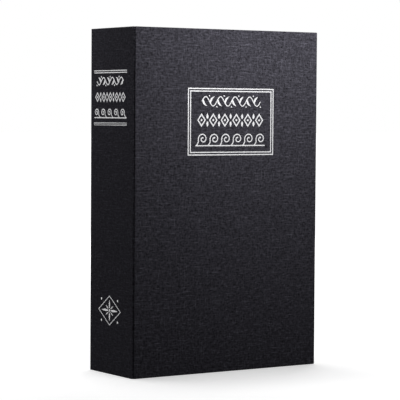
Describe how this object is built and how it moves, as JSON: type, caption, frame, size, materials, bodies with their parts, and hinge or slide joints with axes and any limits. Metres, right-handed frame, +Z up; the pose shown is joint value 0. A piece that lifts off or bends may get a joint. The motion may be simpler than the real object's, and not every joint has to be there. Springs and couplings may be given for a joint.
{
  "type": "book diversion safe",
  "caption": "Book-shaped diversion safe: a cloth-covered case that opens on a page-edge frame around a steel box with a hinged steel door and a number-wheel lock.",
  "frame": {"origin": "middle of the footprint that the upright book stands on, at the tail edges of the covers", "axes": "+Z up along the book's height from tail to head, +X from the spine to the fore edge, +Y from the front cover to the back cover"},
  "size_m": [0.155, 0.058, 0.24],
  "materials": {
    "book_cloth": "black woven-look book cloth, matt with a faint sheen",
    "grey_board": "uncoated grey board",
    "endpaper": "plain black paper",
    "page_plastic": "cream moulded plastic with fine page lines",
    "black_steel": "black powder coat, fine texture",
    "bright_steel": "zinc plated",
    "satin_chrome": "satin chrome plate",
    "wheel_plastic": "black moulded plastic",
    "brass": "plain brass",
    "black_felt": "pressed felt"
  },
  "bodies": {
    "case": {"back_cover_cloth": "book_cloth", "back_board": "grey_board", "back_endpaper": "endpaper", "spine_cloth": "book_cloth", "spine_board": "grey_board", "spine_lining": "endpaper", "front_joint_cloth": "book_cloth", "back_joint_cloth": "book_cloth", "page_frame": "page_plastic", "steel_box": "black_steel", "felt_liner": "black_felt", "box_screw_1": "bright_steel", "box_screw_2": "bright_steel", "box_screw_3": "bright_steel", "box_screw_4": "bright_steel", "hinge_frame_leaf": "black_steel", "hinge_pin": "bright_steel", "frame_rivet_1": "bright_steel", "frame_rivet_2": "bright_steel", "frame_rivet_3": "bright_steel"},
    "front_cover": {"front_cover_cloth": "book_cloth", "front_board": "grey_board", "front_endpaper": "endpaper"},
    "door": {"door_panel": "black_steel", "hinge_door_leaf": "black_steel", "door_rivet_1": "bright_steel", "door_rivet_2": "bright_steel", "door_rivet_3": "bright_steel", "lock_housing": "satin_chrome", "lock_back_plate": "bright_steel", "plate_screw_1": "bright_steel", "plate_screw_2": "bright_steel", "lock_screw_1": "bright_steel", "lock_screw_2": "bright_steel", "detent_spring": "brass"},
    "latch": {"latch_bolt": "bright_steel", "dial_shaft": "bright_steel", "slide_knob": "satin_chrome"},
    "wheel_1": {"number_wheel_1": "wheel_plastic", "wheel_sleeve_1": "brass"},
    "wheel_2": {"number_wheel_2": "wheel_plastic", "wheel_sleeve_2": "brass"},
    "wheel_3": {"number_wheel_3": "wheel_plastic", "wheel_sleeve_3": "brass"},
    "reset": {"reset_lever": "wheel_plastic"}
  },
  "joints": [
    {"name": "cover_hinge", "type": "hinge", "parent": "case", "child": "front_cover", "pos_m": [-0.07645, -0.02915, 0.12], "axis": [0, 0, -1], "range_deg": [0, 175]},
    {"name": "door_hinge", "type": "hinge", "parent": "case", "child": "door", "pos_m": [-0.0556, -0.0216, 0.12], "axis": [0, 0, -1], "range_deg": [0, 120]},
    {"name": "latch_slide", "type": "slide", "parent": "door", "child": "latch", "axis": [1, 0, 0], "range_m": [0, 0.005]},
    {"name": "wheel_1_turn", "type": "hinge", "parent": "door", "child": "wheel_1", "pos_m": [0.0178, -0.0159, 0.12], "axis": [1, 0, 0], "continuous": true},
    {"name": "wheel_2_turn", "type": "hinge", "parent": "door", "child": "wheel_2", "pos_m": [0.024, -0.0159, 0.12], "axis": [1, 0, 0], "continuous": true},
    {"name": "wheel_3_turn", "type": "hinge", "parent": "door", "child": "wheel_3", "pos_m": [0.0302, -0.0159, 0.12], "axis": [1, 0, 0], "continuous": true},
    {"name": "reset_slide", "type": "slide", "parent": "door", "child": "reset", "axis": [1, 0, 0], "range_m": [0, 0.003]}
  ],
  "couplings": [
    {"joint": "door_hinge", "follows": "cover_hinge", "ratio": 0.6857}
  ]
}
